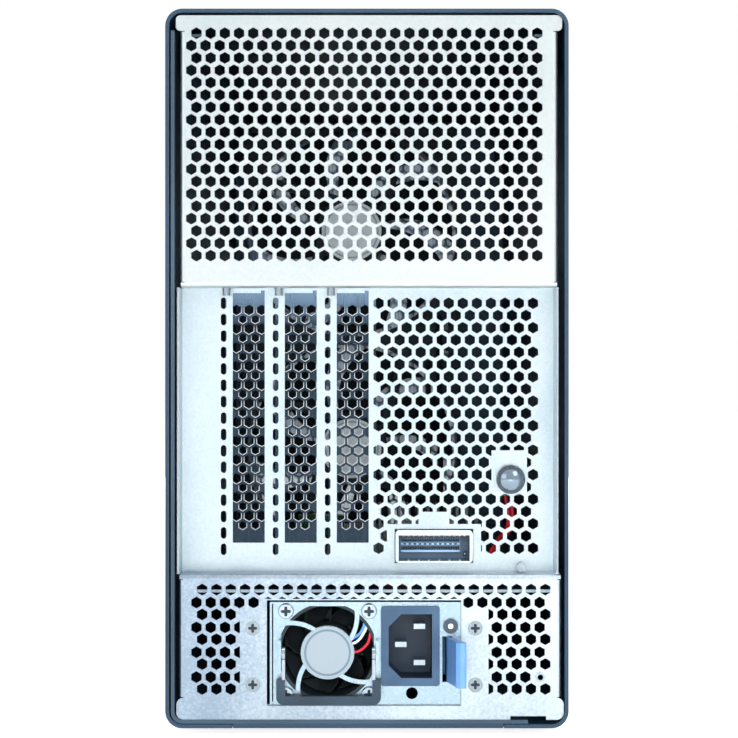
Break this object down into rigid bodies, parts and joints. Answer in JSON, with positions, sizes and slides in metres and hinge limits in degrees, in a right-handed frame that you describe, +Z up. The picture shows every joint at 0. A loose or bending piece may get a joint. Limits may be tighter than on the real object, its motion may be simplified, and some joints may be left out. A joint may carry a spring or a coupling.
{
  "type": "pcie expansion chassis",
  "caption": "tower chassis for full-length expansion cards, with perforated rear panels, a link port, a push button and a hot-swap power supply that slides out of the rear",
  "frame": {"origin": "on the floor, under the middle of the box round the part", "axes": "+Z up; the rear with the ports faces -Y; +X is to the right seen from the rear"},
  "size_m": [0.1554, 0.431, 0.281],
  "materials": {
    "cover_paint": "satin",
    "tray_paint": "satin",
    "zinc": "satin",
    "rubber": "matte",
    "galvanised": "spangled",
    "wire_gasket": "knitted",
    "strip_steel": "satin",
    "nickel": "polished",
    "fan_plastic": "matte",
    "rotor_plastic": "matte",
    "lead_black": "matte",
    "lead_red": "satin",
    "lead_yellow": "satin",
    "lead_white": "satin",
    "bezel_plastic": "fine grain",
    "grille_steel": "matte",
    "clear_plastic": "clear",
    "board_green": "solder mask",
    "socket_plastic": "matte",
    "chip_black": "matte",
    "sink_aluminium": "satin",
    "contact_plastic": "matte",
    "button_steel": "brushed",
    "psu_steel": "satin",
    "inlet_plastic": "satin",
    "light_grey": "satin",
    "latch_blue": "satin",
    "grip_plastic": "satin"
  },
  "bodies": {
    "chassis": {"outer_cover": "cover_paint", "base_plate": "cover_paint", "inner_tray": "tray_paint", "cover_screws": "zinc", "rubber_feet": "rubber", "rear_upper_panel": "galvanised", "rear_slot_panel": "galvanised", "rear_lower_panel": "galvanised", "panel_gaskets": "wire_gasket", "slot_cover_left": "strip_steel", "slot_cover_middle": "strip_steel", "slot_cover_right": "strip_steel", "slot_screws": "zinc", "ledge_stud": "zinc", "ground_eyelet": "nickel", "divider_shelf": "galvanised", "top_rails": "galvanised", "fan_bracket": "galvanised", "fan_frame_upper": "fan_plastic", "fan_frame_lower": "fan_plastic", "fan_screws": "zinc", "fan_leads": "lead_black", "front_bezel": "bezel_plastic", "front_grille": "grille_steel", "front_light": "clear_plastic", "backplane_board": "board_green", "card_socket_left": "socket_plastic", "card_socket_middle": "socket_plastic", "card_socket_right": "socket_plastic", "board_standoffs": "zinc", "board_screws": "zinc", "switch_chip": "chip_black", "switch_heatsink": "sink_aluminium", "link_board": "board_green", "link_port_cage": "nickel", "link_port_contacts": "contact_plastic", "mute_button_body": "button_steel", "mute_button_nut": "button_steel", "mute_button_leads": "lead_red", "psu_bay": "galvanised", "bay_screws": "zinc", "power_board": "board_green", "power_socket": "socket_plastic", "power_harness": "lead_yellow"},
    "fan_spin_upper": {"fan_rotor_upper": "rotor_plastic"},
    "fan_spin_lower": {"fan_rotor_lower": "rotor_plastic"},
    "button": {"mute_button_cap": "button_steel"},
    "power_supply": {"psu_case": "psu_steel", "psu_face": "psu_steel", "psu_fan_frame": "fan_plastic", "psu_fan_screws": "nickel", "psu_fan_leads": "lead_white", "inlet_housing": "inlet_plastic", "inlet_pins": "nickel", "psu_light": "light_grey", "psu_board": "board_green"},
    "psu_rotor": {"psu_fan_rotor": "rotor_plastic"},
    "latch": {"psu_latch": "latch_blue"},
    "handle": {"psu_handle_arms": "nickel", "psu_handle_grip": "grip_plastic"}
  },
  "joints": [
    {"name": "psu_slide", "type": "slide", "parent": "chassis", "child": "power_supply", "axis": [0, -1, 0], "range_m": [0, 0.2]},
    {"name": "latch_pivot", "type": "hinge", "parent": "power_supply", "child": "latch", "pos_m": [0.03152, -0.1735, 0.0305], "axis": [0, 0, -1], "range_deg": [0, 4], "stiffness_Nm_per_rad": 0.6},
    {"name": "handle_pivot", "type": "hinge", "parent": "power_supply", "child": "handle", "pos_m": [-0.01469, -0.1991, 0.0331], "axis": [-1, 0, 0], "range_deg": [0, 100]},
    {"name": "psu_fan_spin", "type": "hinge", "parent": "power_supply", "child": "psu_rotor", "pos_m": [-0.01519, -0.18, 0.03305], "axis": [0, 1, 0], "continuous": true},
    {"name": "fan_upper_spin", "type": "hinge", "parent": "chassis", "child": "fan_spin_upper", "pos_m": [-0.00885, 0.186, 0.2185], "axis": [0, 1, 0], "continuous": true},
    {"name": "fan_lower_spin", "type": "hinge", "parent": "chassis", "child": "fan_spin_lower", "pos_m": [-0.00885, 0.186, 0.0985], "axis": [0, 1, 0], "continuous": true},
    {"name": "mute_press", "type": "slide", "parent": "chassis", "child": "button", "axis": [0, 1, 0], "range_m": [0, 0.0015], "stiffness_N_per_m": 800}
  ]
}
